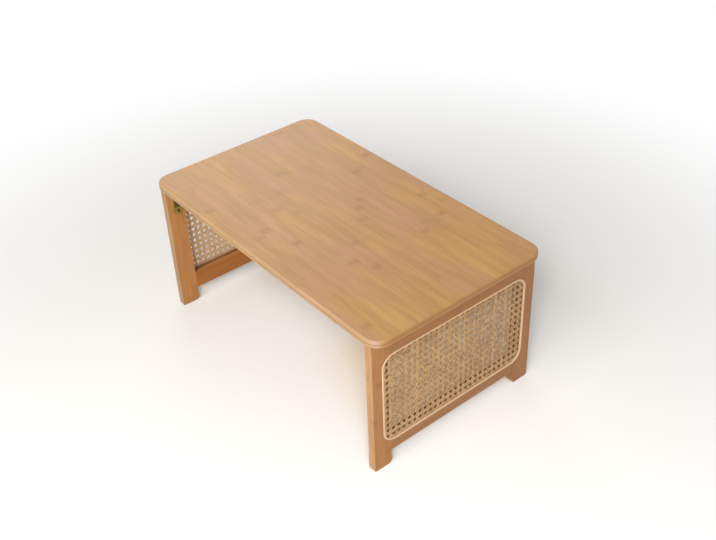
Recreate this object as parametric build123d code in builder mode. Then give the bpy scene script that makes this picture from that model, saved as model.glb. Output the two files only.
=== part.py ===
from build123d import *
import os

os.makedirs("parts", exist_ok=True)

# A low bamboo table whose two cane-filled leg panels fold inward, flat under the top.
# Millimetres. The origin is on the floor under the middle of the top, +X runs along
# the long side, +Y across it and +Z up.

# ---------------------------------------------------------------- driving dimensions
# Top
top_length = 700
top_width = 400
top_thickness = 17
table_height = 310
top_corner_radius = 30
top_edge_radius = 4

# Leg panels: one frame of bamboo boards at each end
board = 17
end_overhang = 17
side_overhang = 4
stile_width = 40
rail_width = 41
foot_height = 31.5
window_top = 239
top_gap = 0.3
arris = 1.5
window_arris = 1
foot_inner_radius = 8
foot_outer_radius = 3

# Stub tenons that hold the rails in the stiles
tenon_length = 12
tenon_thickness = 6
tenon_shoulder = 9
tenon_from_inner_face = 2.5
glue_gap = 0.1

# Cane webbing and the spline that presses its edge into a groove
ledge = 16
spline_radius = 26
spline_width = 4.6
spline_crown = 0.8
spline_edge_radius = 1.6
groove_depth = 7
cane_thickness = 1.6
cane_skirt = 1
cane_skirt_depth = 5
fit_gap = 0.1
cane_pitch_y = 12.65
cane_pitch_z = 14.1
cane_columns = 27
cane_rows = 13
cane_hole_radius = 3
cane_first_row = 13
cane_shift = 1.8
cane_margin = 1.5

# Folding brackets, measured from the corner between a panel and the top:
# "in" is the distance towards the middle of the table, "down" the distance below the top
hinge_y = 172
pivot = 10
sheet = 1.5
leaf_start = 3
leaf_length = 60
leaf_width = 18
leaf_corner_radius = 4
boss_radius = 6
ear_gap = 0.3
notch_radius = 1.9
notch_offset = 6.4
bend_radius = 1

# Pivot rivet
rivet_radius = 2.45
rivet_hole_radius = 2.5
rivet_head_radius = 4
rivet_head_height = 1.5
rivet_head_gap = 0.2
rivet_head_round = 1

# Detent spring: a bent strip of spring steel, given as "in, down" points
spring_thickness = 0.6
spring_bend_radius = 0.9
spring_points = [(1.8, 44), (1.8, 26), (3.0, 20), (3.0, 12.6), (4.8, 10), (3.0, 7.4), (3.0, 4.4)]

# Wood screws
screw_positions = (34, 53)
screw_hole_radius = 2
screw_radius = 1.75
screw_length = 10
screw_tip = 3
screw_taper = 25
screw_head_radius = 3.5
screw_head_height = 2.2
screw_head_round = 1.2
cross_length = 4
cross_width = 0.9
cross_depth = 1.1
pilot_radius = 1.8
pilot_depth = 9

# ------------------------------------------------------------------- derived places
underside = table_height - top_thickness
panel_outer = top_length / 2 - end_overhang
panel_inner = panel_outer - board
panel_half = top_width / 2 - side_overhang
panel_top = underside - top_gap
window_half = panel_half - stile_width
window_bottom = foot_height + rail_width
window_height = window_top - window_bottom
window_middle = (window_top + window_bottom) / 2
spline_y = 2 * (window_half + ledge)
spline_z = window_height + 2 * ledge
spline_bottom = window_bottom - ledge
groove_inside = -spline_width / 2 - cane_skirt - 2 * fit_gap
groove_outside = spline_width / 2 + fit_gap
skirt_outside = -spline_width / 2 - fit_gap
skirt_inside = skirt_outside - cane_skirt
inner_ear = leaf_width / 2 - sheet - ear_gap
heel = pivot - boss_radius
sides = {"left": -1, "right": 1}
ends = {"front": -1, "back": 1}


def save(piece, name):
    piece.part.label = name
    export_step(piece.part, f"parts/{name}.step")


def spline_outline(offset):
    """The cane's rounded rectangle, grown by offset from the middle of the spline."""
    with Locations((0, window_middle)):
        RectangleRounded(spline_y + 2 * offset, spline_z + 2 * offset, spline_radius + offset)


def spline_ring(inner, outer):
    """The band between two of those outlines."""
    spline_outline(outer)
    with Locations((0, window_middle)):
        RectangleRounded(
            spline_y + 2 * inner, spline_z + 2 * inner, spline_radius + inner, mode=Mode.SUBTRACT
        )


# ------------------------------------------------------------------------------- top
with BuildPart() as tabletop:
    with BuildSketch(Plane.XY.offset(underside)):
        RectangleRounded(top_length, top_width, top_corner_radius)
    extrude(amount=top_thickness)
    rims = tabletop.edges().group_by(Axis.Z)
    fillet(rims[0] + rims[-1], top_edge_radius)
    with BuildSketch(Plane.XY.offset(underside)):
        for side in sides.values():
            for end in ends.values():
                with Locations([(side * (panel_inner - u), end * hinge_y) for u in screw_positions]):
                    Circle(pilot_radius)
    extrude(amount=pilot_depth, mode=Mode.SUBTRACT)
save(tabletop, "tabletop")

# -------------------------------------------------------------------- leg panel frame
# The right-hand frame as it is after glueing and sanding. Its pieces are cut from it below,
# so that rounded edges and the cane's groove run on across the joints.
with BuildPart() as frame:
    with BuildSketch(Plane.YZ.offset(panel_inner)) as outline:
        with BuildLine():
            Polyline(
                (-panel_half, 0),
                (-window_half, 0),
                (-window_half, foot_height),
                (window_half, foot_height),
                (window_half, 0),
                (panel_half, 0),
                (panel_half, panel_top),
                (-panel_half, panel_top),
                close=True,
            )
        make_face()
        corners = outline.vertices().group_by(Axis.Y)[0].sort_by(Axis.X)
        fillet(corners[1:3], foot_inner_radius)
        corners = outline.vertices().filter_by_position(Axis.Y, -fit_gap, fit_gap).sort_by(Axis.X)
        fillet([corners[0], corners[-1]], foot_outer_radius)
    extrude(amount=board)
    faces = frame.faces().sort_by(Axis.X)
    fillet(faces[0].outer_wire().edges() + faces[-1].outer_wire().edges(), arris)
    with BuildSketch(Plane.YZ.offset(panel_inner)):
        with Locations((0, window_middle)):
            Rectangle(2 * window_half, window_height)
    extrude(amount=board, mode=Mode.SUBTRACT)
    fillet(frame.faces().sort_by(Axis.X)[0].inner_wires()[0].edges(), window_arris)
    with BuildSketch(Plane.YZ.offset(panel_outer)):
        spline_outline(groove_inside)
    extrude(amount=-cane_thickness, mode=Mode.SUBTRACT)
    with BuildSketch(Plane.YZ.offset(panel_outer)):
        spline_ring(groove_inside, groove_outside)
    extrude(amount=-groove_depth, mode=Mode.SUBTRACT)


def tenon_zone(bottom, top, end, gap):
    """Box of a rail's stub tenon at one end, grown by gap into its mortise."""
    length = tenon_length + 2 * gap
    thickness = tenon_thickness + 2 * gap
    height = top - bottom - 2 * tenon_shoulder + 2 * gap
    x = panel_inner + tenon_from_inner_face + tenon_thickness / 2
    y = end * (window_half + length / 2)
    return Pos(x, y, (bottom + top) / 2) * Box(thickness, length, height, mode=Mode.PRIVATE)


rails = {"top_rail": (window_top, panel_top), "bottom_rail": (foot_height, window_bottom)}


def stile(end):
    """One upright of the frame, down to its foot, with mortises and screw holes."""
    with BuildPart() as piece:
        add(frame.part)
        with Locations((panel_inner, end * (panel_half + window_half) / 2, 0)):
            Box(2 * board, stile_width, 2 * table_height, mode=Mode.INTERSECT)
        for bottom, top in rails.values():
            add(tenon_zone(bottom, top, end, glue_gap), mode=Mode.SUBTRACT)
        with BuildSketch(Plane.YZ.offset(panel_inner)):
            with Locations([(end * hinge_y, underside - down) for down in screw_positions]):
                Circle(pilot_radius)
        extrude(amount=pilot_depth, mode=Mode.SUBTRACT)
    return piece


def rail(bottom, top):
    """One crosspiece of the frame, with a stub tenon at each end."""
    with BuildPart() as piece:
        add(frame.part)
        with Locations((panel_inner, 0, (bottom + top) / 2)):
            Box(2 * board, 2 * window_half, top - bottom, mode=Mode.INTERSECT)
        for end in ends.values():
            add(tenon_zone(bottom, top, end, 0))
    return piece


# ------------------------------------------------------------------- cane and spline
# The openings of the six-way weave, kept where they clear the sheet's rounded corners
corner_y = spline_y / 2 - spline_radius
corner_z = spline_z / 2 - spline_radius
clear_radius = spline_radius + groove_inside - cane_margin - cane_hole_radius
openings = []
for column in range(cane_columns):
    for row in range(cane_rows):
        y = cane_shift + (column - (cane_columns - 1) / 2) * cane_pitch_y
        z = spline_bottom + cane_first_row + row * cane_pitch_z
        past_y = max(abs(y) - corner_y, 0)
        past_z = max(abs(z - window_middle) - corner_z, 0)
        if (past_y**2 + past_z**2) ** 0.5 < clear_radius:
            openings.append((y, z))

with BuildPart() as cane_panel:
    with BuildSketch(Plane.YZ.offset(panel_outer)):
        spline_outline(skirt_outside)
        with Locations(openings):
            Circle(cane_hole_radius, mode=Mode.SUBTRACT)
    extrude(amount=-cane_thickness)
    with BuildSketch(Plane.YZ.offset(panel_outer)):
        spline_ring(skirt_inside, skirt_outside)
    extrude(amount=-cane_skirt_depth)

with BuildPart() as cane_spline:
    with BuildSketch(Plane.YZ.offset(panel_outer + spline_crown)):
        spline_ring(-spline_width / 2, spline_width / 2)
    extrude(amount=-(groove_depth + spline_crown - fit_gap))
    crown = cane_spline.faces().sort_by(Axis.X)[-1]
    fillet(crown.edges(), spline_edge_radius)

right_panel = {
    "front_stile": stile(ends["front"]),
    "back_stile": stile(ends["back"]),
    "top_rail": rail(*rails["top_rail"]),
    "bottom_rail": rail(*rails["bottom_rail"]),
    "cane_panel": cane_panel,
    "cane_spline": cane_spline,
}
for name, piece in right_panel.items():
    save(piece, f"right_{name}")
    with BuildPart() as left_piece:
        mirror(piece.part, about=Plane.YZ)
    save(left_piece, f"left_{name}")


# ------------------------------------------------------------------ folding brackets
def hinge_plane(side, end):
    """Sketch plane square to a hinge's pivot: x is "in" and y is "down"."""
    corner = (side * panel_inner, end * hinge_y, underside)
    return Plane(origin=corner, x_dir=(-side, 0, 0), z_dir=(0, -side, 0))


def leaf_outline(start, length, width):
    """A leaf's plan: square at the pivot end, rounded at the far end."""
    with Locations(((start + length) / 2, 0)):
        leaf = Rectangle(length - start, width)
    fillet(leaf.vertices().group_by(Axis.X)[-1], leaf_corner_radius)


def ear_profile(along_top):
    """Side view of an ear: a web at 45 degrees from its leaf to a round boss at the pivot."""
    tangent = pivot + boss_radius * 0.5**0.5
    web = [(heel, 0), (2 * tangent, 0), (tangent, tangent), (pivot, pivot), (heel, pivot)]
    if not along_top:
        web = [(away, along) for along, away in web]
    Polygon(*web)
    with Locations((pivot, pivot)):
        Circle(boss_radius)
        Circle(rivet_hole_radius, mode=Mode.SUBTRACT)


def top_bracket(side, end):
    """Leaf screwed under the top, with two inner ears that carry the detent's notches."""
    across = hinge_plane(side, end)
    with BuildPart() as piece:
        with BuildSketch(Plane(origin=across.origin, x_dir=across.x_dir, z_dir=(0, 0, -1))):
            leaf_outline(heel, leaf_length, 2 * inner_ear)
            with Locations([(along, 0) for along in screw_positions]):
                Circle(screw_hole_radius, mode=Mode.SUBTRACT)
        extrude(amount=sheet)
        for face in (-1, 1):
            with BuildSketch(across.offset(face * (inner_ear - sheet / 2))):
                ear_profile(along_top=True)
                with Locations((pivot - notch_offset, pivot), (pivot, pivot + notch_offset)):
                    Circle(notch_radius, mode=Mode.SUBTRACT)
            extrude(amount=sheet / 2, both=True)
        fillet(piece.edges().filter_by(Axis.X).group_by(Axis.Z)[-1], bend_radius)
    return piece


def leg_bracket(side, end):
    """Leaf screwed to a stile, with two outer ears that turn about the rivet."""
    across = hinge_plane(side, end)
    with BuildPart() as piece:
        with BuildSketch(Plane(origin=across.origin, x_dir=(0, 0, -1), z_dir=across.x_dir)):
            leaf_outline(leaf_start, leaf_length, leaf_width)
            with Locations([(along, 0) for along in screw_positions]):
                Circle(screw_hole_radius, mode=Mode.SUBTRACT)
        extrude(amount=sheet)
        for face in (-1, 1):
            with BuildSketch(across.offset(face * (leaf_width - sheet) / 2)):
                ear_profile(along_top=False)
            extrude(amount=sheet / 2, both=True)
        fillet(piece.edges().filter_by(Axis.Z).group_by(Axis((0, 0, 0), across.x_dir))[0], bend_radius)
    return piece


def pivot_rivet(side, end):
    """Round rivet through all four ears, with a head outside each outer ear."""
    across = hinge_plane(side, end)
    with BuildPart() as piece:
        with BuildSketch(across):
            with Locations((pivot, pivot)):
                Circle(rivet_radius)
        extrude(amount=leaf_width / 2 + rivet_head_gap, both=True)
        for face in (-1, 1):
            with BuildSketch(across.offset(face * (leaf_width / 2 + rivet_head_gap))):
                with Locations((pivot, pivot)):
                    Circle(rivet_head_radius)
            extrude(amount=face * rivet_head_height)
        rims = piece.edges().filter_by(GeomType.CIRCLE).sort_by(Axis.Y)
        fillet([rims[0], rims[-1]], rivet_head_round)
    return piece


def detent_spring(side, end):
    """Bent strip on the leg leaf, whose rib drops into a notch at each end of the fold."""
    across = hinge_plane(side, end)
    with BuildPart() as piece:
        with BuildSketch(across):
            with BuildLine():
                FilletPolyline(*spring_points, radius=spring_bend_radius)
            trace(line_width=spring_thickness)
        extrude(amount=inner_ear, both=True)
        with BuildSketch(Plane(origin=across.origin, x_dir=(0, 0, -1), z_dir=across.x_dir)):
            with Locations((screw_positions[0], 0)):
                Circle(screw_hole_radius)
        extrude(amount=pivot, mode=Mode.SUBTRACT)
    return piece


def screws(seats, head_direction):
    """Pan-head wood screws with a crossed recess; each seat is the point under its head."""
    with BuildPart() as piece:
        for seat in seats:
            seat_plane = Plane(origin=seat, z_dir=head_direction)
            with BuildSketch(seat_plane):
                Circle(screw_radius)
            extrude(amount=-(screw_length - screw_tip))
            with BuildSketch(seat_plane.offset(-(screw_length - screw_tip))):
                Circle(screw_radius)
            extrude(amount=-screw_tip, taper=screw_taper)
            with BuildSketch(seat_plane):
                Circle(screw_head_radius)
            extrude(amount=screw_head_height)
        crowns = piece.edges().filter_by(GeomType.CIRCLE)
        crowns = crowns.filter_by(lambda edge: edge.radius > screw_head_radius - fit_gap)
        crowns = crowns.group_by(Axis((0, 0, 0), head_direction))[-1]
        fillet(crowns, screw_head_round)
        for seat in seats:
            recess = Plane(origin=seat, z_dir=head_direction).offset(screw_head_height)
            with BuildSketch(recess):
                Rectangle(cross_length, cross_width)
                Rectangle(cross_width, cross_length)
            extrude(amount=-cross_depth, mode=Mode.SUBTRACT)
    return piece


def leg_screws(side, end):
    """The stile's two screws: the upper one also clamps the spring's tail to the leaf."""
    across = hinge_plane(side, end)
    clamped = sheet + spring_thickness
    upper = across.from_local_coords((clamped, screw_positions[0], 0))
    lower = across.from_local_coords((sheet, screw_positions[1], 0))
    with BuildPart() as piece:
        add(screws([upper], across.x_dir).part)
        add(screws([lower], across.x_dir).part)
    return piece


def top_screws(side, end):
    """The two screws that hold a top leaf to the underside."""
    across = hinge_plane(side, end)
    seats = [across.from_local_coords((u, sheet, 0)) for u in screw_positions]
    return screws(seats, (0, 0, -1))


for side_name, side in sides.items():
    for end_name, end in ends.items():
        place = f"{side_name}_{end_name}"
        save(top_bracket(side, end), f"{place}_top_bracket")
        save(leg_bracket(side, end), f"{place}_leg_bracket")
        save(pivot_rivet(side, end), f"{place}_pivot_rivet")
        save(detent_spring(side, end), f"{place}_detent_spring")
        save(top_screws(side, end), f"{place}_top_screws")
        save(leg_screws(side, end), f"{place}_leg_screws")
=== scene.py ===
# %% [markdown]
# # A low folding table in bamboo and cane
#
# The table is a laminated bamboo board on two frames that fold inward under it. Each frame
# holds a sheet of woven cane, pressed into a groove by a pale reed spline, and hangs on two
# folding brackets. The construction arrives finished, as one object for each piece. This
# lesson dresses it: it gives every piece its finish, weaves the cane strand by strand, and
# sets up a camera and lamps. Lengths are in metres, with +X along the long side, +Y across
# it and +Z up, and the floor at zero.

import math
import random
from types import SimpleNamespace

import bpy
import numpy as np
from mathutils import Matrix, Vector


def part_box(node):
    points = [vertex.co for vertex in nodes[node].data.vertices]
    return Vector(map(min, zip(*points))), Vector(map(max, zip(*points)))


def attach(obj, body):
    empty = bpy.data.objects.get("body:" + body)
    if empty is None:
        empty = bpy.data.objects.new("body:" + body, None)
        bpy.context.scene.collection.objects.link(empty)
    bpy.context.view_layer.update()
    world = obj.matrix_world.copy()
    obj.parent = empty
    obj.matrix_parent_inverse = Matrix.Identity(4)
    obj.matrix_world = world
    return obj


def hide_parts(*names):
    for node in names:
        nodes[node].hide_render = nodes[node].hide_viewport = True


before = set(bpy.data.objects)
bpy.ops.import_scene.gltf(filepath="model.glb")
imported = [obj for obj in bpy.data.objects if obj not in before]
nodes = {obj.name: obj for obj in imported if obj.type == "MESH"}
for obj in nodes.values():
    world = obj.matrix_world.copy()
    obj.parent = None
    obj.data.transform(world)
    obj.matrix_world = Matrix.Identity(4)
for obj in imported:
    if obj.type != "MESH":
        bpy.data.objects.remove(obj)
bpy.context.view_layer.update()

# %% [markdown]
# ## The camera
#
# A product view of a low table looks down on it from a standing height, so that the top,
# one long side and one end all show. A camera can be placed by eye, or from an azimuth, an
# elevation and a distance about a target. The second is used here, because those numbers
# say what the view is. The camera leans a little, which is a turn about its own axis.

# %% Camera from azimuth, elevation and distance
picture_width = 716
focal_pixels = 1007.12
sensor_width = 36.0
azimuth = math.radians(51.97)
elevation = math.radians(36.3)
lean = math.radians(-2.55)
target = Vector((-0.0320, 0.0706, 0.1200))
distance = 2.0964

back = Vector((
    math.sin(azimuth) * math.cos(elevation),
    -math.cos(azimuth) * math.cos(elevation),
    math.sin(elevation),
))
level_right = Vector((0, 0, 1)).cross(back).normalized()
level_up = back.cross(level_right)
right = math.cos(lean) * level_right + math.sin(lean) * level_up
up = back.cross(right)

lens = bpy.data.cameras.new("camera")
lens.sensor_width = sensor_width
lens.lens = focal_pixels * sensor_width / picture_width
camera = bpy.data.objects.new("camera", lens)
bpy.context.scene.collection.objects.link(camera)
facing = Matrix((right, up, back)).transposed()
camera.matrix_world = Matrix.Translation(target + distance * back) @ facing.to_4x4()
bpy.context.scene.camera = camera
print("lens:", round(lens.lens, 2), "mm")

# %% [markdown]
# ## The studio
#
# Satin bamboo wants soft light. One broad window in front makes the top and the long edge
# bright and leaves the end frame in gentle shade. A low one near the front corner reaches in
# under the top, to the far frame's inner side. A third, behind the far end, is there for its
# reflection: it lays a pale sheen on that end of the lacquer. A faint sky fills the rest. A
# world colour could do all of it, but then nothing would have a lit side.
# The lamps stay at a plain level, so that a colour shows about as it is written. The
# background is made white only for what the camera and reflections see, which adds no
# light to the table.

# %% View settings and the pale sky
scene = bpy.context.scene
scene.view_settings.view_transform = "Standard"

sky_light = 0.39
sky_colour = (1.0, 0.985, 0.965, 1)
white = (1, 1, 1, 1)


def seen_directly(tree):
    """A value of 1 for rays from the camera, mirrors and glass, and 0 for light."""
    path = tree.nodes.new("ShaderNodeLightPath")
    total = path.outputs["Is Camera Ray"]
    for ray in ("Is Glossy Ray", "Is Transmission Ray"):
        either = tree.nodes.new("ShaderNodeMath")
        either.operation = "MAXIMUM"
        tree.links.new(total, either.inputs[0])
        tree.links.new(path.outputs[ray], either.inputs[1])
        total = either.outputs[0]
    return total


world = bpy.data.worlds.new("studio")
world.use_nodes = True
scene.world = world
lit = world.node_tree.nodes["Background"]
lit.inputs["Color"].default_value = sky_colour
lit.inputs["Strength"].default_value = sky_light
seen = world.node_tree.nodes.new("ShaderNodeBackground")
seen.inputs["Color"].default_value = white
either = world.node_tree.nodes.new("ShaderNodeMixShader")
world.node_tree.links.new(seen_directly(world.node_tree), either.inputs["Fac"])
world.node_tree.links.new(lit.outputs[0], either.inputs[1])
world.node_tree.links.new(seen.outputs[0], either.inputs[2])
world.node_tree.links.new(either.outputs[0], world.node_tree.nodes["World Output"].inputs["Surface"])
print("sky:", sky_light)

# %% The window, the low fill and the sheen


def soft_lamp(name, place, aim, size, watts, colour):
    """A square area lamp that looks from place towards aim."""
    lamp = bpy.data.lights.new(name, "AREA")
    lamp.size = size
    lamp.energy = watts
    lamp.color = colour
    holder = bpy.data.objects.new(name, lamp)
    holder.location = place
    holder.rotation_euler = (Vector(aim) - Vector(place)).to_track_quat("-Z", "Y").to_euler()
    holder.visible_camera = False
    scene.collection.objects.link(holder)
    return holder


table_middle = (0, 0, 0.2)
far_end = (-0.25, 0, 0.31)
window = soft_lamp("window", place=(0.75, -3.2, 3.0), aim=table_middle,
                   size=2.2, watts=109, colour=(1, 0.97, 0.93))
fill = soft_lamp("fill", place=(1.25, -1.5, 0.6), aim=table_middle,
                 size=0.9, watts=9, colour=(1, 0.96, 0.92))
sheen = soft_lamp("sheen", place=(-2.20, 1.05, 1.50), aim=far_end,
                  size=1.2, watts=12, colour=(1, 0.98, 0.97))
print("lamps:", window.name, fill.name, sheen.name)

# %% [markdown]
# ## A recipe book for finishes
#
# Every finish below is a small network of nodes: noise stretched into fibres, thin lines
# at fixed spacings, and colours mixed by them. Wiring nodes by hand takes four lines for
# each, so a small class does the repeated part: it adds a node, joins its inputs, and has
# short ways to do arithmetic, mix colours and fade between two levels.

# %% Recipe: a material being mixed


class Recipe:
    """One procedural material, with short ways to add and join its nodes."""

    def __init__(self, name, shader_values):
        self.material = bpy.data.materials.new(name)
        self.material.use_nodes = True
        self.tree = self.material.node_tree
        self.shader = self.tree.nodes["Principled BSDF"]
        for socket, value in shader_values.items():
            self.shader.inputs[socket].default_value = value

    def feed(self, socket, value):
        """Joins another node's output to socket, or sets a plain value on it."""
        if isinstance(value, bpy.types.NodeSocket):
            self.tree.links.new(value, socket)
        else:
            socket.default_value = value

    def add(self, kind, inputs, **settings):
        """A new node with these settings, whose inputs are fed by name or number."""
        node = self.tree.nodes.new("ShaderNode" + kind)
        for setting, value in settings.items():
            setattr(node, setting, value)
        for socket, value in inputs.items():
            self.feed(node.inputs[socket], value)
        return node

    def math(self, operation, first, second=0.0):
        return self.add("Math", {0: first, 1: second}, operation=operation).outputs[0]

    def fade(self, value, low, high, start=0.0, end=1.0):
        """start where value is at low, end where it is at high, and smooth between."""
        inputs = {"Value": value, "From Min": low, "From Max": high, "To Min": start, "To Max": end}
        return self.add("MapRange", inputs, interpolation_type="SMOOTHSTEP").outputs["Result"]

    def colour_mix(self, share, first, second, way="MIX"):
        node = self.add("Mix", {0: share, 6: first, 7: second}, data_type="RGBA", blend_type=way)
        return node.outputs[2]

    def point(self, x, y, z):
        return self.add("CombineXYZ", {0: x, 1: y, 2: z}).outputs[0]

    def noise(self, point, detail=2.0, roughness=0.5):
        """Noise from 0 to 1 with features about one unit of point across."""
        inputs = {"Vector": point, "Scale": 1.0, "Detail": detail, "Roughness": roughness}
        return self.add("TexNoise", inputs).outputs["Fac"]

    def bump(self, height, depth):
        """Raises the surface by height times depth, in metres."""
        inputs = {"Height": height, "Distance": depth, "Strength": 1.0}
        self.feed(self.shader.inputs["Normal"], self.add("Bump", inputs).outputs["Normal"])


print("recipe book ready")

# %% [markdown]
# ## The floor
#
# The floor only carries the table's shadow and sends a little warm light back up. It is a
# plain pale sheet, wide enough that its edge stays out of view from every side, and it
# counts as stage, not as part of the table. Lamps as soft as those above leave hardly any
# cast shadow on it. One more lamp gives it one: light linking lets it reach the floor and
# nothing else, while the table still stands in its way. It also brings the floor close to
# white, and far out the sheet is mixed with a glow of strength 1, until it melts into the
# sky as in a studio's sweep. Light that bounces meets a darker, warmer paint, so that the
# floor sends no more light up to the table than before. Where the table shelters the floor
# from the lamp, the camera sees a darker, warmer paint: a painted shade, standing in for
# light that the wood sends down. An ambient occlusion node finds that place: it asks how
# much is free within 0.4 m of a point, on the lamp's side.

# %% Floor sheet
floor_half = 6.0
floor_drop = 0.0002
floor_colour = (0.382, 0.337, 0.282, 1)
floor_open = (0.585, 0.577, 0.564, 1)
floor_painted_shade = (0.520, 0.395, 0.270, 1)
sweep_start = 0.45
sweep_end = 1.40
shelter_reach = 0.40
shelter_full = 0.47
shelter_none = 0.71
floor_middle = (0, 0, 0)
floor_light_place = (1.94, -1.74, 2.19)

floor_mesh = bpy.data.meshes.new("floor")
floor_corners = [(x * floor_half, y * floor_half, -floor_drop) for x, y in
                 ((-1, -1), (1, -1), (1, 1), (-1, 1))]
floor_mesh.from_pydata(floor_corners, [], [(0, 1, 2, 3)])
floor = bpy.data.objects.new("floor", floor_mesh)
scene.collection.objects.link(floor)

floor_light = soft_lamp("floor light", place=floor_light_place, aim=floor_middle,
                        size=1.0, watts=138, colour=(1, 1, 1))
lit_by_it = bpy.data.collections.new("lit by the floor light")
lit_by_it.objects.link(floor)
floor_light.light_linking.receiver_collection = lit_by_it
print("floor:", 2 * floor_half, "m wide, lamp:", floor_light.name)

# %% Floor paint


def diffuse(recipe, colour):
    return recipe.add("BsdfDiffuse", {"Color": colour}).outputs[0]


def either_shader(recipe, share, first, second):
    return recipe.add("MixShader", {0: share, 1: first, 2: second}).outputs[0]


def paint_floor():
    """Plain paint for light, and for the camera its pale part, its white glow far out and a painted
    warm shade where the table shelters it.
    """
    matt = {"Base Color": floor_colour, "Roughness": 1.0, "Specular IOR Level": 0.0}
    recipe = Recipe("floor_paint", matt)
    place = recipe.add("TexCoord", {}).outputs["Object"]
    away = recipe.add("VectorMath", {0: place}, operation="LENGTH").outputs["Value"]
    glow = recipe.add("Emission", {"Color": white}).outputs[0]
    share = recipe.fade(away, sweep_start, sweep_end)
    look = either_shader(recipe, share, diffuse(recipe, floor_open), glow)
    towards_lamp = recipe.point(*Vector(floor_light_place).normalized())
    shelter = recipe.add("AmbientOcclusion", {"Distance": shelter_reach, "Normal": towards_lamp})
    openness = recipe.fade(shelter.outputs["AO"], shelter_full, shelter_none)
    # Where the table shelters the floor, a darker, warmer paint is a painted shade.
    look = either_shader(recipe, openness, diffuse(recipe, floor_painted_shade), look)
    look = either_shader(recipe, seen_directly(recipe.tree), recipe.shader.outputs[0], look)
    recipe.feed(recipe.tree.nodes["Material Output"].inputs["Surface"], look)
    return recipe.material


floor_mesh.materials.append(paint_floor())
print("floor shelter reaches:", shelter_reach)

# %% [markdown]
# ## Laminated bamboo
#
# The boards are pressed from flat strips of bamboo about 20 mm wide, in two layers. Four
# things make it look like bamboo and not like timber: the strips differ a little in tone,
# fine straight fibres run their whole length, each strip shows the culm's joints as short
# darker bars, and the fibres end as dots on a sawn end. A picture of bamboo could be wrapped
# round the boards, but its strips wouldn't meet the board's real edges. Here every surface
# point works out its own strip, layer and fibre from its place in the board, so that faces,
# edges and rounded corners agree, as they do in a solid.

# %% Bamboo: places in the board
strip_width = 0.0200
joint_spacing = 0.235
joint_bar = 0.0030
joint_halo = 0.0155
glue_line = 0.00020
fibre_size = 0.00075
streak_size = 0.0095


def axis_places(recipe):
    """Distances along X, Y and Z, and the share of the surface that faces along each."""
    source = recipe.add("TexCoord", {})
    place = recipe.add("SeparateXYZ", {0: source.outputs["Object"]}).outputs
    facing = recipe.add("SeparateXYZ", {0: source.outputs["Normal"]}).outputs
    return place, [recipe.math("ABSOLUTE", share) for share in facing]


def line_distance(recipe, value, spacing):
    """How far value is from the nearest multiple of spacing."""
    return recipe.math("PINGPONG", value, spacing / 2)


def own_number(recipe, first, second, seed):
    """A fixed random number from 0 to 1 for each pair of whole numbers."""
    pair = recipe.point(first, second, seed)
    return recipe.add("TexWhiteNoise", {"Vector": pair}, noise_dimensions="3D").outputs["Value"]


print("strips:", strip_width, "joints every:", joint_spacing)

# %% [markdown]
# ### Two batches of bamboo
#
# The colour starts from a few tones of the same honey brown. The frames are cut from a
# slightly deeper batch than the top, and their glue seam is finer; their tones are also darker
# and more saturated as a painted shade, since the frames stand under the top. Each batch also
# holds a tint for the narrow sides, partly a painted sheen, and the frames' batch holds the
# strength of the painted shade behind the cane. The lacquer is a thin satin film. Each batch
# is one table of colours, so that a board can be tried in another batch by changing a word.

# %% Bamboo: the colours of each batch
# Each batch's side tint pales and cools the narrow sides: partly the strips edge-on, partly a painted
# sheen.
top_batch = {
    "pale": (0.665, 0.364, 0.108, 1),
    "rosy": (0.617, 0.316, 0.156, 1),
    "deep": (0.505, 0.265, 0.080, 1),
    "fibre": (0.400, 0.170, 0.045, 1),
    "joint": (0.345, 0.150, 0.045, 1),
    "end": (0.540, 0.258, 0.074, 1),
    "side": (0.98, 1.15, 1.52, 1),
    "seam": 0.00120,
}
# The frames' tones are darker and more saturated than the top's, partly as a painted shade.
frame_batch = {
    "pale": (0.600, 0.290, 0.090, 1),
    "rosy": (0.580, 0.268, 0.108, 1),
    "deep": (0.480, 0.205, 0.056, 1),
    "fibre": (0.350, 0.135, 0.032, 1),
    "joint": (0.300, 0.120, 0.032, 1),
    "end": (0.400, 0.175, 0.050, 1),
    "side": (0.98, 1.18, 1.60, 1),
    "seam": 0.00045,
    "cane_shade_strength": 0.92,
}
# Rounded edges are made paler and bluer: partly wear, partly a painted sheen.
worn_edge_and_sheen = (1.04, 1.12, 1.38, 1)
# A dark colour for the wood behind the cane: a painted shade.
rebate_painted_shade = (0.150, 0.043, 0.009, 1)
lacquer = {"Specular IOR Level": 0.42}
print("bamboo tones:", top_batch["pale"][:3], frame_batch["pale"][:3])

# %% [markdown]
# ### Where a point lies in its board
#
# Every mark below needs the same few facts about a point: how far along the grain it is,
# how far across, how deep from the glue seam, in which layer and in which strip. They are
# worked out once and kept together. The strips of the two layers are staggered, as the
# maker lays them, so that no glue line runs through the board.

# %% Bamboo: one point's strip and layer
X, Y, Z = 0, 1, 2
layer_stagger = 0.41


def board_places(recipe, axes, layer_line, seed):
    """The facts about a point of a board, for the given grain, width and depth axes."""
    grain, across, through = axes
    place, facing = axis_places(recipe)
    deep = recipe.math("SUBTRACT", place[through], layer_line)
    layer = recipe.math("GREATER_THAN", deep, 0.0)
    stagger = recipe.math("MULTIPLY", layer, strip_width * layer_stagger)
    shifted = recipe.math("ADD", place[across], stagger)
    return SimpleNamespace(
        along=place[grain], aside=place[across], deep=deep, layer=layer, shifted=shifted,
        strip=recipe.math("FLOOR", recipe.math("DIVIDE", shifted, strip_width)),
        height=place[Z], through=place[through], facing=facing, seed=seed,
        facing_end=facing[grain], facing_side=facing[across], facing_face=facing[through],
    )


print("axes:", X, Y, Z, "layers staggered by", layer_stagger, "of a strip")

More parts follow.
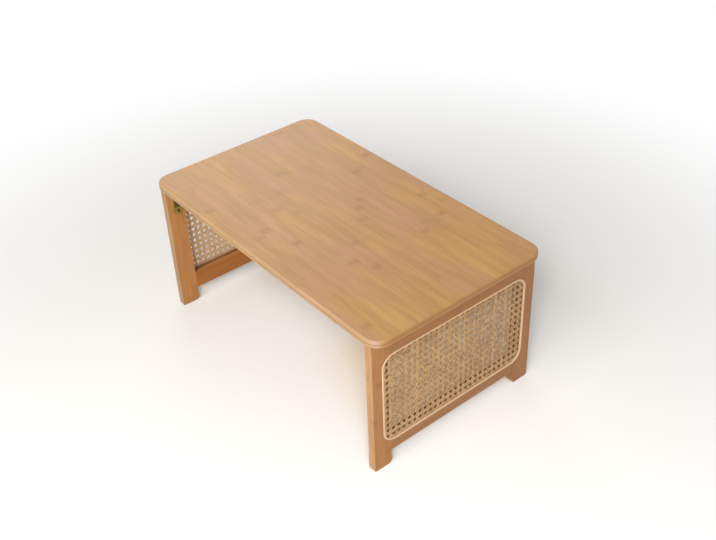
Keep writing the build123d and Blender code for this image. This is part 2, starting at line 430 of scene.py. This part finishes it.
# %% [markdown]
# ### Tones along the grain
#
# Each strip takes its own share of the batch's colours. Wide clouds and bands as wide as a
# strip drift over it, long soft streaks follow the grain, and fine fibres and flecks lie on
# top. All of them are the same noise, stretched along the grain by different amounts. It
# stays faint: pressed and lacquered bamboo is calm from a few steps away.

# %% Bamboo: ground, fibres and flecks
cloud_width = 2.6 * strip_width
band_width = 0.75 * strip_width
cloud_stretch = 9.0
streak_stretch = 8.0
fibre_stretch = 22.0
fleck_stretch = 95.0
fleck_size = 0.8 * fibre_size
strip_shift = 0.07
band_shift = 0.22


def soft_clouds(recipe, board, width, number):
    """Soft noise this wide, with a pattern of its own for each number and each layer."""
    return recipe.noise(recipe.point(
        recipe.math("MULTIPLY", board.along, cloud_stretch),
        recipe.math("DIVIDE", board.aside, width),
        recipe.math("ADD", recipe.math("DIVIDE", board.deep, strip_width), number),
    ), detail=1.0, roughness=0.4)


def grain_place(recipe, board, stretch, size):
    """A place for noise whose features are size across and drawn out along the grain."""
    return recipe.point(
        recipe.math("MULTIPLY", board.along, stretch),
        recipe.math("DIVIDE", board.aside, size),
        recipe.math("DIVIDE", board.deep, size),
    )


def ground(recipe, board, batch):
    """The colour under the fibres."""
    strip_tone = own_number(recipe, board.strip, board.layer, board.seed)
    streak = recipe.noise(grain_place(recipe, board, streak_stretch, streak_size), detail=3.0)
    tone = recipe.math("ADD", recipe.fade(strip_tone, 0.0, 1.0, -strip_shift, strip_shift),
                       recipe.fade(streak, 0.28, 0.72, 0.25, 0.75))
    band = soft_clouds(recipe, board, band_width, board.seed + 3)
    tone = recipe.math("ADD", tone, recipe.fade(band, 0.3, 0.7, -band_shift, band_shift))
    cloud = recipe.fade(soft_clouds(recipe, board, cloud_width, board.seed), 0.32, 0.68)
    colour = recipe.colour_mix(cloud, batch["pale"], batch["rosy"])
    return recipe.colour_mix(tone, colour, batch["deep"])


def fibres(recipe, board):
    """Fine fibres, and the few darker flecks among them."""
    fibre_place = grain_place(recipe, board, fibre_stretch, fibre_size)
    fleck_place = grain_place(recipe, board, fleck_stretch, fleck_size)
    fibre = recipe.noise(fibre_place, detail=3.0, roughness=0.6)
    return fibre, recipe.fade(recipe.noise(fleck_place, detail=1.0), 0.60, 0.76)


print("clouds:", cloud_width, "bands:", band_width, "fibres:", fibre_size)

# %% [markdown]
# ### Joints of the culm and glue lines
#
# A strip crosses a joint of the culm about every 235 mm. There it shows a thin bar with a
# soft smudge beside it. Where along the strip that falls is a matter of chance, so each
# strip starts at its own place and each bar has its own strength. Two kinds of glue line
# are thinner still: one between neighbouring strips, and the seam between the layers.

# %% Bamboo: joints and glue lines
bar_wave_width = 0.009
bar_wave_height = 0.009


def culm_joints(recipe, board):
    """The smudge and the thin bar where each strip crosses a joint of the culm."""
    waves_aside = recipe.math("DIVIDE", board.aside, bar_wave_width)
    wave = recipe.noise(recipe.point(board.strip, waves_aside, board.seed))
    wave = recipe.math("MULTIPLY", wave, bar_wave_height)
    own_start = own_number(recipe, board.strip, board.layer, board.seed + 5)
    own_start = recipe.math("MULTIPLY", recipe.math("MULTIPLY", own_start, 3.0), joint_spacing)
    place = recipe.math("ADD", recipe.math("ADD", board.along, wave), own_start)
    near = line_distance(recipe, place, joint_spacing)
    number = recipe.math("ROUND", recipe.math("DIVIDE", place, joint_spacing))
    chance_here = own_number(recipe, board.strip, number, board.seed + 9)
    strength = recipe.fade(chance_here, 0.2, 1.0, 0.10, 1.0)
    smudge = recipe.fade(near, 0.0, joint_halo, 1.0, 0.0)
    bar = recipe.fade(near, joint_bar * 0.3, joint_bar, 1.0, 0.0)
    return recipe.math("MULTIPLY", smudge, strength), recipe.math("MULTIPLY", bar, strength)


def glue_lines(recipe, board, seam_width):
    """The lines between strips, and the seam between the two layers."""
    from_strip = line_distance(recipe, board.shifted, strip_width)
    from_layer = recipe.math("ABSOLUTE", board.deep)
    glue = recipe.fade(from_strip, glue_line, 2.2 * glue_line, 1.0, 0.0)
    return glue, recipe.fade(from_layer, seam_width * 0.4, seam_width, 1.0, 0.0)


print("joints every:", joint_spacing, "glue lines:", glue_line)

# %% [markdown]
# ### Sawn ends and painted shade behind the cane
#
# On a sawn end the fibre bundles show as dots, which a cell pattern draws well. Behind the
# cane, the rebate's floor and the edge of the window lie in shade, and that shade is painted
# dark into the wood's colour. Nothing but the place in the board tells where that is: just
# below the outer face, and beside the window.

# %% Bamboo: end grain and the painted shade behind the cane
dot_size = 1.3 * fibre_size
# The painted shade behind the cane covers the rebate's floor and, above the sill, the window's edge.
rebate_start, rebate_end = (0.0008, 0.0014), (0.0100, 0.0120)
window_lip = (0.0005, 0.0010)
sill_height = (0.060, 0.064)
window_edge_shade = 0.95


def sawn_end(recipe, board, batch, glue):
    """The colour of end grain."""
    cut = recipe.point(0.0, board.aside, board.deep)
    dots = recipe.add("TexVoronoi", {"Vector": cut, "Scale": 1 / dot_size}).outputs["Distance"]
    colour = recipe.colour_mix(recipe.fade(dots, 0.15, 0.5), batch["fibre"], batch["end"])
    return recipe.colour_mix(recipe.math("MULTIPLY", glue, 0.5), colour, batch["joint"])


def shade_behind_cane(recipe, board, window):
    """How much painted shade a point gets behind the cane, for the outer face, the window's middle
    and its half size.
    """
    face, window_middle, window_half = window
    sunk = recipe.math("SUBTRACT", face, recipe.math("ABSOLUTE", board.through))
    rebate = recipe.math("MULTIPLY", recipe.fade(sunk, *rebate_start),
                         recipe.fade(sunk, *rebate_end, 1.0, 0.0))
    from_middle = recipe.math("ABSOLUTE", recipe.math("SUBTRACT", board.aside, window_middle))
    lip = recipe.fade(from_middle, window_half + window_lip[0], window_half + window_lip[1], 1.0, 0.0)
    lip = recipe.math("MULTIPLY", lip, recipe.fade(board.height, *sill_height, 0.0, window_edge_shade))
    shaded_part = recipe.math("MAXIMUM", recipe.fade(board.facing_face, 0.7, 0.9), lip)
    return recipe.math("MULTIPLY", rebate, shaded_part)


print("end grain dots:", dot_size, "rebate:", rebate_start[0], "to", rebate_end[1])

# %% [markdown]
# ### Mixing the bamboo
#
# Now the marks are laid over the ground one by one, each as a share of a darker colour. The
# narrow sides show the strips edge-on and paler, and rounded edges are paler too, partly worn
# by hands; on both, part of the paleness is a painted sheen where the lacquer would catch the
# light. A painted shade darkens the wood behind the cane, and each board's depth paints its
# light and shade.
# The fibres show in the gloss as much as in the colour: they vary the roughness and give a
# bump of a few hundredths of a millimetre.

# %% Bamboo: colour, gloss and bump
mark_strength = {"halo": 0.34, "bar": 0.14, "glue": 0.16, "fleck": 0.16, "end": 0.55, "seam": 0.85}
fibre_strength = 0.24
fibre_relief = 0.00005


def bamboo(name, batch, axes, layer_line, seed, depth=(1, 1, 1), window=None):
    """Laminated bamboo whose grain, strips and layers run along the three given axes. Depth
    is a colour factor for the whole board that paints its light and shade. A board beside the
    cane's window gives its face's height, and the window's middle and half size across the board."""
    recipe = Recipe(name, lacquer)
    board = board_places(recipe, axes, layer_line, seed)
    fibre, fleck = fibres(recipe, board)
    halo, bar = culm_joints(recipe, board)
    glue, seam = glue_lines(recipe, board, batch["seam"])

    def mark(kind, amount, under, over):
        share = recipe.math("MULTIPLY", amount, mark_strength[kind])
        return recipe.colour_mix(share, under, over)

    colour = ground(recipe, board, batch)
    fibre_share = recipe.fade(fibre, 0.45, 0.85, 0.0, fibre_strength)
    colour = recipe.colour_mix(fibre_share, colour, batch["fibre"])
    colour = mark("fleck", fleck, colour, batch["fibre"])
    colour = mark("halo", halo, colour, batch["joint"])
    colour = mark("bar", bar, colour, batch["joint"])
    colour = mark("glue", glue, colour, batch["joint"])
    end_grain = recipe.fade(board.facing_end, 0.72, 0.95)
    colour = mark("end", end_grain, colour, sawn_end(recipe, board, batch, glue))
    colour = mark("seam", seam, colour, batch["joint"])

    # Narrow sides and rounded edges are made paler: partly the strips edge-on and wear, partly a
    # painted sheen.
    edge_on_and_sheen = recipe.fade(board.facing_side, 0.25, 0.70)
    colour = recipe.colour_mix(edge_on_and_sheen, colour, batch["side"], "MULTIPLY")
    squarest = recipe.math("MAXIMUM", board.facing[X], board.facing[Y])
    squarest = recipe.math("MAXIMUM", squarest, board.facing[Z])
    wear_and_sheen = recipe.fade(squarest, 0.80, 0.98, 1.0, 0.0)
    colour = recipe.colour_mix(wear_and_sheen, colour, worn_edge_and_sheen, "MULTIPLY")
    # Depth paints light and shade on the whole board: below one it darkens and warms a shaded board,
    # above one it pales a lit one.
    colour = recipe.colour_mix(1.0, colour, (*depth, 1), "MULTIPLY")
    if window:
        # Behind the cane the wood lies in shade; that shade is painted here as a dark colour.
        shaded_behind_cane = recipe.math("MULTIPLY", shade_behind_cane(recipe, board, window), batch["cane_shade_strength"])
        colour = recipe.colour_mix(shaded_behind_cane, colour, rebate_painted_shade)

    recipe.feed(recipe.shader.inputs["Base Color"], colour)
    recipe.feed(recipe.shader.inputs["Roughness"], recipe.fade(fibre, 0.2, 0.9, 0.36, 0.50))
    height = recipe.math("SUBTRACT", fibre, recipe.math("MULTIPLY", glue, 0.8))
    height = recipe.math("ADD", height, recipe.math("MULTIPLY", bar, 0.5))
    recipe.bump(height, fibre_relief)
    return recipe.material


print("marks:", mark_strength)

# %% [markdown]
# ## Dressing the boards
#
# The grain runs along each board: along the table in the top, up the stiles and across in
# the rails. That turn of the grain is what shows that a frame is joined and not cut from a
# sheet. The layer line sits in the middle of each board's thickness, read from the board
# itself. Each board gets a seed of its own, so that no two show the same strips, and a depth
# of its own: a colour factor that paints the light and shade the board stands in, darker and
# warmer where it is shaded and paler where it is lit. The far frame's boards get less of the
# painted shade behind the cane, and the sides of its stiles are deeper in tone, with less of
# the painted sheen.

# %% Give a built piece its finish


def dress(node, material):
    """Puts material on every slot of a built piece."""
    piece = nodes[node]
    if not piece.material_slots:
        piece.data.materials.append(material)
    for held in piece.material_slots:
        held.material = material


def middle(node, axis):
    """Halfway through a built piece along one axis."""
    low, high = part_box(node)
    return (low[axis] + high[axis]) / 2


# The far frame is lit behind its cane, so it gets less of the painted shade there, and its stiles'
# sides less of the painted sheen.
far_rails = {**frame_batch, "cane_shade_strength": 0.50}
far_stiles = {**far_rails, "side": (0.76, 0.98, 1.45, 1)}
# Each board's colour factor paints the light and shade it stands in.
board_light_and_shade = {
    "left_front_stile": (1.12, 1.15, 1.15),
    "left_back_stile": (1.00, 1.00, 1.00),
    "left_top_rail": (0.92, 0.84, 0.72),
    "left_bottom_rail": (0.89, 0.72, 0.42),
    "right_front_stile": (1.00, 1.01, 1.00),
    "right_back_stile": (0.85, 0.80, 0.74),
    "right_top_rail": (0.88, 0.86, 0.70),
    "right_bottom_rail": (0.82, 0.80, 0.80),
}
top_seed = 11
first_frame_seed = 20
dress("tabletop", bamboo("bamboo_top", top_batch, (X, Y, Z), middle("tabletop", Z), top_seed))
outer_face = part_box("right_front_stile")[1].x
window_middle = middle("right_cane_spline", Z)
for number, (board, depth) in enumerate(board_light_and_shade.items()):
    axes, centre = ((Z, Y, X), 0.0) if "stile" in board else ((Y, Z, X), window_middle)
    window_half = min(abs(corner[axes[1]] - centre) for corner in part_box(board))
    window = (outer_face, centre, window_half)
    far = far_stiles if "stile" in board else far_rails
    batch = far if "left" in board else frame_batch
    seed = first_frame_seed + number
    dress(board, bamboo("bamboo_" + board, batch, axes, middle(board, X), seed, depth, window))
    print(board, "window edge at", round(window_half, 4))
print("boards dressed:", 1 + len(board_light_and_shade))

# %% [markdown]
# ## The cane
#
# Cane webbing is woven from the glossy skin of rattan, shaved to strips about 2 mm wide.
# This is the six-way weave: pairs of upright strands and pairs of crosswise strands make a
# plain weave where they cross, and two sets of slanting strands lock them. One set passes
# over the crosswise pairs and under the uprights, and the other set the opposite way, which
# leaves an eight-sided opening in each cell. A picture of the weave on a flat sheet would
# look right from the front only. Here each strand is modelled, so that its crown catches
# the light, the openings are real and the inner side shows the weave's back.

# %% The sheet's outline, read from the spline that holds it
spline_width = 0.0046
spline_radius = 0.0260
tuck_inset = 0.0029
tuck_depth = 0.0050
spline_low, spline_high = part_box("right_cane_spline")
sheet_middle_z = (spline_low.z + spline_high.z) / 2
edge_inset = spline_width / 2 + tuck_inset
half_wide = (spline_high.y - spline_low.y) / 2 - edge_inset
half_tall = (spline_high.z - spline_low.z) / 2 - edge_inset
corner = spline_radius - tuck_inset


def outside(y, z):
    """Distance outside the sheet's rounded rectangle, negative inside it."""
    past_y = abs(y) - (half_wide - corner)
    past_z = abs(z - sheet_middle_z) - (half_tall - corner)
    beyond = math.hypot(max(past_y, 0.0), max(past_z, 0.0))
    return beyond + min(max(past_y, past_z), 0.0) - corner


print("cane sheet:", round(2 * half_wide, 4), "by", round(2 * half_tall, 4))

# %% The weave's grid and its strands
pitch_y = 0.01265
pitch_z = 0.01410
columns = 27
rows = 13
grid_shift = 0.0018
first_column_y = grid_shift - (columns - 1) / 2 * pitch_y
first_row_z = 0.0695
straight_width = 0.0030
slanting_width = 0.0029
strand_thickness = 0.0006
pair_offset = 0.00158
level_gap = 0.00068
mid_depth = 0.0009
lock_steepness = 1.6
samples_per_cell = 8

near_y = pair_offset / pitch_y
near_z = pair_offset / pitch_z


def cell(y, z):
    """Place in the grid: openings are at whole numbers, pairs halfway between."""
    return (y - first_column_y) / pitch_y, (z - first_row_z) / pitch_z


def plain_weave(phase, near, side):
    """Level of a paired strand: it dives under one strand of the pair it crosses and
    climbs over the other. Phase is its distance past the crossing, in cells."""
    if abs(phase) > 2 * near:
        return 0.0
    return side * 0.5 * math.sin(math.pi * phase / (2 * near))


def halfway(value):
    """Signed distance from value to the nearest half number."""
    return value - math.floor(value) - 0.5


def lock(column_place):
    """Level of a slanting strand: up over one pair, down under the next."""
    return max(-1.0, min(1.0, lock_steepness * math.cos(2 * math.pi * column_place)))


print("openings:", columns * rows, "at most")

# %% [markdown]
# ### From a line to a strand
#
# A strand starts as a straight line in the sheet. The line is walked in small steps, and
# each step gets the height that the weave gives it there. Where the line meets the sheet's
# edge, the strand bends down into the groove, as real webbing is tucked in before the
# spline is driven home. A five-sided section is then drawn along the path: flat behind and
# crowned in front, like a split of cane. A curve object with a bevel could do this too,
# but a mesh lets every strand carry its own tone and its distance from the end, which the
# finish needs.

# %% One strand's path and its mesh
section = ((-0.5, -0.45), (-0.40, 0.30), (0.0, 0.55), (0.40, 0.30), (0.5, -0.45))
search_steps = 400
shortest_run = 12
halvings = 24
bend_depth = 0.0022
bend_inset = 0.0009
calm_length = 0.004


def span(origin, heading):
    """First and last distance along a line where it is inside the sheet."""
    reach = half_wide + half_tall
    steps = [reach * (step / search_steps - 1) for step in range(2 * search_steps + 1)]
    inside = [t for t in steps
              if outside(origin[0] + t * heading[0], origin[1] + t * heading[1]) < 0]
    if len(inside) < shortest_run:
        return None
    ends = []
    for within, way in ((inside[0], -1), (inside[-1], 1)):
        beyond = within + way * reach / search_steps
        for _ in range(halvings):
            halved = (within + beyond) / 2
            y, z = origin[0] + halved * heading[0], origin[1] + halved * heading[1]
            if outside(y, z) < 0:
                within = halved
            else:
                beyond = halved
        ends.append(within)
    return ends


def strand_path(origin, heading, level, step):
    """Points of a strand, tucked down at both ends. The first is depth from the face."""
    ends = span(origin, heading)
    if ends is None:
        return None
    start, stop = ends
    count = max(6, round((stop - start) / step))
    path = [(-tuck_depth, start), (-bend_depth, start)]
    for number in range(count + 1):
        t = start + bend_inset + (stop - start - 2 * bend_inset) * number / count
        y, z = origin[0] + t * heading[0], origin[1] + t * heading[1]
        calm = min(1.0, (t - start) / calm_length, (stop - t) / calm_length)
        path.append((level(*cell(y, z)) * level_gap * calm - mid_depth, t))
    path += [(-bend_depth, stop), (-tuck_depth, stop)]
    return [(depth, origin[0] + t * heading[0], origin[1] + t * heading[1]) for depth, t in path]


def add_strand(mesh_parts, path, heading, width, tone, mirrored):
    """Draws the section along a path, into the lists that make up one mesh."""
    points, faces, tones, distances, skins = mesh_parts
    base = len(points)
    line = np.array([(outer_face + depth, y, z) for depth, y, z in path])
    tangent = np.gradient(line, axis=0)
    tangent /= np.linalg.norm(tangent, axis=1)[:, None]
    wide = np.array((0.0, -heading[1], heading[0]))
    crown = np.cross(wide, tangent)
    crown *= np.sign(np.sum(crown[len(crown) // 2] * (1, 0, 0)))
    travelled = np.concatenate(([0], np.cumsum(np.linalg.norm(np.diff(line, axis=0), axis=1))))
    for place, out, distance_along in zip(line, crown, travelled):
        for aside, rise in section:
            point = place + wide * aside * width + out * rise * strand_thickness
            points.append((-point[0] if mirrored else point[0], point[1], point[2]))
            tones.append(tone)
            distances.append(distance_along)
            skins.append(1.0 if rise > 0 else 0.0)
    corners = len(section)
    for ring in range(len(path) - 1):
        for turn in range(corners):
            here = base + ring * corners + turn
            after = base + ring * corners + (turn + 1) % corners
            quad = (here, after, after + corners, here + corners)
            faces.append(quad if mirrored else quad[::-1])


print("section corners:", len(section))

# %% [markdown]
# ### Weaving four sets of strands
#
# The strands of one direction form one piece, which gives four pieces for each panel, as a
# weaver would name them: uprights, crosswise, rising and falling. Real strands are never
# quite evenly spaced or of one colour, so each is shifted by a few hundredths of a
# millimetre and gets a tone of its own, from a fixed seed. The left panel is the mirror of
# the right one, with its crowned side facing out as well.

# %% Lines of the four sets


def upright_lines():
    for pair in range(columns + 1):
        y = first_column_y + (pair - 0.5) * pitch_y
        for side in (-1, 1):
            def level(across, upward, side=side):
                return plain_weave(halfway(upward), near_z, -side)
            yield (y + side * pair_offset, sheet_middle_z), (0.0, 1.0), level


def crosswise_lines():
    for pair in range(rows + 1):
        z = first_row_z + (pair - 0.5) * pitch_z
        for side in (-1, 1):
            def level(across, upward, side=side):
                return plain_weave(halfway(across), near_y, side)
            yield (0.0, z + side * pair_offset), (1.0, 0.0), level


def slanting_lines(way):
    length = math.hypot(pitch_y, pitch_z)
    heading = (pitch_y / length, way * pitch_z / length)

    def level(across, upward):
        return way * lock(across)

    for number in range(-rows - 1, columns + rows + 1):
        across = number + 0.5
        y = first_column_y + across * pitch_y
        yield (y, first_row_z), heading, level


slanting_step = math.hypot(pitch_y, pitch_z) / (1.5 * samples_per_cell)
sets = {
    "uprights": (list(upright_lines()), pitch_z / samples_per_cell, straight_width),
    "crosswise": (list(crosswise_lines()), pitch_y / samples_per_cell, straight_width),
    "rising": (list(slanting_lines(1)), slanting_step, slanting_width),
    "falling": (list(slanting_lines(-1)), slanting_step, slanting_width),
}
print({name: len(lines) for name, (lines, step, width) in sets.items()})

# %% [markdown]
# ### The finish of a strand
#
# The outer skin of rattan is hard, shiny and golden, and the back is dull pith. Tones run
# from straw to light brown, strand by strand, with faint lengthwise scratches and now and
# then a darker ring where a leaf grew. The mesh carries what the nodes can't know: a tone
# for each strand, the distance along it and which side is skin. Reading those as attributes
# keeps the finish fixed to the strand, however it bends.

# %% Cane finish
cane_straw = (0.790, 0.505, 0.237, 1)
cane_brown = (0.445, 0.238, 0.091, 1)
cane_pith = (0.960, 0.690, 0.420, 1)
cane_ring = (0.260, 0.130, 0.050, 1)
cane_edge_shade = (0.250, 0.125, 0.048, 1)
ring_spacing = 0.31
slow_drift = 14.0
scratch_stretch = 120.0
scratch_fineness = 2600.0
cane_gloss = {"Specular IOR Level": 0.5, "Coat Weight": 0.15, "Coat Roughness": 0.25}


def cane():
    """Split rattan, shiny on its skin side."""
    recipe = Recipe("cane", cane_gloss)

    def carried(name):
        return recipe.add("Attribute", {}, attribute_name=name).outputs["Fac"]

    tone, travelled, skin = carried("tone"), carried("travelled"), carried("skin")
    own = recipe.math("MULTIPLY", tone, 37.0)
    place = recipe.add("TexCoord", {}).outputs["Object"]
    apart = recipe.add("SeparateXYZ", {0: place}).outputs
    slow = recipe.noise(recipe.point(recipe.math("MULTIPLY", travelled, slow_drift), own, 0.0))
    scratch_place = recipe.point(
        recipe.math("MULTIPLY", travelled, scratch_stretch),
        recipe.math("MULTIPLY", recipe.math("ADD", apart[Y], apart[Z]), scratch_fineness),
        own,
    )
    scratch = recipe.noise(scratch_place, detail=2.0)
    share = recipe.math("ADD", recipe.fade(tone, 0.0, 1.0, 0.0, 0.85),
                        recipe.fade(slow, 0.3, 0.7, -0.12, 0.22))
    colour = recipe.colour_mix(share, cane_straw, cane_brown)
    colour = recipe.colour_mix(recipe.fade(scratch, 0.5, 0.9, 0.0, 0.3), colour, cane_brown)
    ring_place = recipe.math("ADD", travelled, recipe.math("MULTIPLY", tone, ring_spacing * 3))
    ring_distance = line_distance(recipe, ring_place, ring_spacing)
    ring = recipe.fade(ring_distance, 0.0003, 0.0011, 0.7, 0.0)
    colour = recipe.colour_mix(ring, colour, cane_ring)
    colour = recipe.colour_mix(recipe.fade(skin, 0.1, 0.3, 0.9, 0.0), colour, cane_pith)
    # The strands' edges are painted dark: a painted shade for the gaps between strands.
    edge_shade = recipe.math("MULTIPLY", recipe.fade(skin, 0.2, 0.4),
                           recipe.fade(skin, 0.7, 1.0, 0.8, 0.0))
    colour = recipe.colour_mix(edge_shade, colour, cane_edge_shade)
    recipe.feed(recipe.shader.inputs["Base Color"], colour)
    recipe.feed(recipe.shader.inputs["Roughness"], recipe.fade(skin, 0.1, 0.7, 0.75, 0.36))
    recipe.bump(scratch, 0.00004)
    return recipe.material


cane_finish = cane()
print("cane finish:", cane_finish.name)

# %% [markdown]
# ### Both panels
#
# A weaver sets one strand after another, and so does this cell: it shifts each line a
# little, walks it into a path and draws its section into the mesh of its direction. The
# woven pieces then take the place of the plain sheet that came with the construction, and
# ride on their leg panel, so that they fold with it.

# %% Weave both panels
wander = 0.00008
weave_seed = 27
chance = random.Random(weave_seed)


def weave_piece(name, lines, step, width, mirrored):
    """All strands of one direction as one mesh, with their tones and distances."""
    mesh_parts = ([], [], [], [], [])
    for origin, heading, level in lines:
        tone = chance.random()
        moved = tuple(value + chance.uniform(-wander, wander) for value in origin)
        path = strand_path(moved, heading, level, step)
        if path:
            add_strand(mesh_parts, path, heading, width, tone, mirrored)
    points, faces, tones, distances, skins = mesh_parts
    mesh = bpy.data.meshes.new(name)
    mesh.from_pydata(points, [], faces)
    mesh.shade_smooth()
    for label, values in (("tone", tones), ("travelled", distances), ("skin", skins)):
        mesh.attributes.new(label, "FLOAT", "POINT").data.foreach_set("value", values)
    mesh.materials.append(cane_finish)
    piece = bpy.data.objects.new(name, mesh)
    scene.collection.objects.link(piece)
    return piece


for side in ("left", "right"):
    for direction, (lines, step, width) in sets.items():
        piece = weave_piece(f"{side}_cane_{direction}", lines, step, width, side == "left")
        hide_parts(f"{side}_cane_panel")
        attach(piece, f"{side}_leg_panel")
        print(piece.name, "faces:", len(piece.data.polygons))

# %% [markdown]
# ## The spline
#
# The spline is a thin reed of bleached rattan core, soaked, bent round the corners and
# glued into the groove. It is almost plain: pale cream, smooth, with hair-fine lines along
# its length. Its shape is already right, so it only needs the finish. The lines follow the
# reed round its corners when they are drawn from the distance to the sheet's middle, but at
# this size a noise stretched in three directions can't be told from it.

# %% Spline finish
reed_cream = (0.950, 0.700, 0.455, 1)
reed_shade = (0.840, 0.560, 0.330, 1)
reed_gloss = {"Roughness": 0.40, "Specular IOR Level": 0.45}


def reed():
    """Bleached rattan core."""
    recipe = Recipe("reed", reed_gloss)
    place = recipe.add("TexCoord", {}).outputs["Object"]
    apart = recipe.add("SeparateXYZ", {0: place}).outputs
    slow = recipe.noise(recipe.add("VectorMath", {0: place, 3: 35.0}, operation="SCALE").outputs[0])
    fine = recipe.noise(recipe.point(
        recipe.math("MULTIPLY", apart[X], 2500.0),
        recipe.math("MULTIPLY", apart[Y], 900.0),
        recipe.math("MULTIPLY", apart[Z], 900.0),
    ), detail=2.0)
    share = recipe.math("ADD", recipe.fade(slow, 0.3, 0.7, 0.0, 0.35),
                        recipe.fade(fine, 0.4, 0.8, 0.0, 0.3))
    recipe.feed(recipe.shader.inputs["Base Color"], recipe.colour_mix(share, reed_cream, reed_shade))
    recipe.bump(fine, 0.00004)
    return recipe.material


reed_finish = reed()
for side in ("left", "right"):
    dress(f"{side}_cane_spline", reed_finish)
print("splines dressed: 2")

# %% [markdown]
# ## The brackets and their fasteners
#
# The brackets are stamped from sheet steel and plated with yellow zinc, a thin olive film
# that drifts towards gold. The spring and the screws carry a darker and duller plating.
# All of them share one recipe, a metal whose colour drifts with a slow noise and whose
# gloss is broken up by a fine one.

# %% Plated and bare steel


def steel(name, first, second, smooth, rough, drift):
    """A metal whose colour drifts between two tones, drift times in a metre."""
    recipe = Recipe(name, {"Metallic": 1.0})
    place = recipe.add("TexCoord", {}).outputs["Object"]
    slow = recipe.noise(recipe.add("VectorMath", {0: place, 3: drift}, operation="SCALE").outputs[0])
    fine = recipe.noise(
        recipe.add("VectorMath", {0: place, 3: 22 * drift}, operation="SCALE").outputs[0], detail=3.0
    )
    colour = recipe.colour_mix(recipe.fade(slow, 0.35, 0.65), first, second)
    recipe.feed(recipe.shader.inputs["Base Color"], colour)
    recipe.feed(recipe.shader.inputs["Roughness"], recipe.fade(fine, 0.3, 0.7, smooth, rough))
    recipe.bump(fine, 0.00003)
    return recipe.material


yellow_zinc = steel("yellow_zinc", (0.45, 0.34, 0.075, 1), (0.31, 0.26, 0.060, 1), 0.30, 0.42, 90.0)
worn_zinc = steel("worn_zinc", (0.22, 0.17, 0.065, 1), (0.13, 0.11, 0.055, 1), 0.34, 0.50, 160.0)
spring_zinc = steel("spring_zinc", (0.20, 0.155, 0.050, 1), (0.13, 0.11, 0.045, 1), 0.28, 0.40, 120.0)
hinge_finishes = {
    "top_bracket": yellow_zinc,
    "leg_bracket": yellow_zinc,
    "pivot_rivet": worn_zinc,
    "detent_spring": spring_zinc,
    "top_screws": worn_zinc,
    "leg_screws": worn_zinc,
}
for side in ("left", "right"):
    for end in ("front", "back"):
        for part, finish in hinge_finishes.items():
            dress(f"{side}_{end}_{part}", finish)
print("bracket pieces dressed:", 4 * len(hinge_finishes))
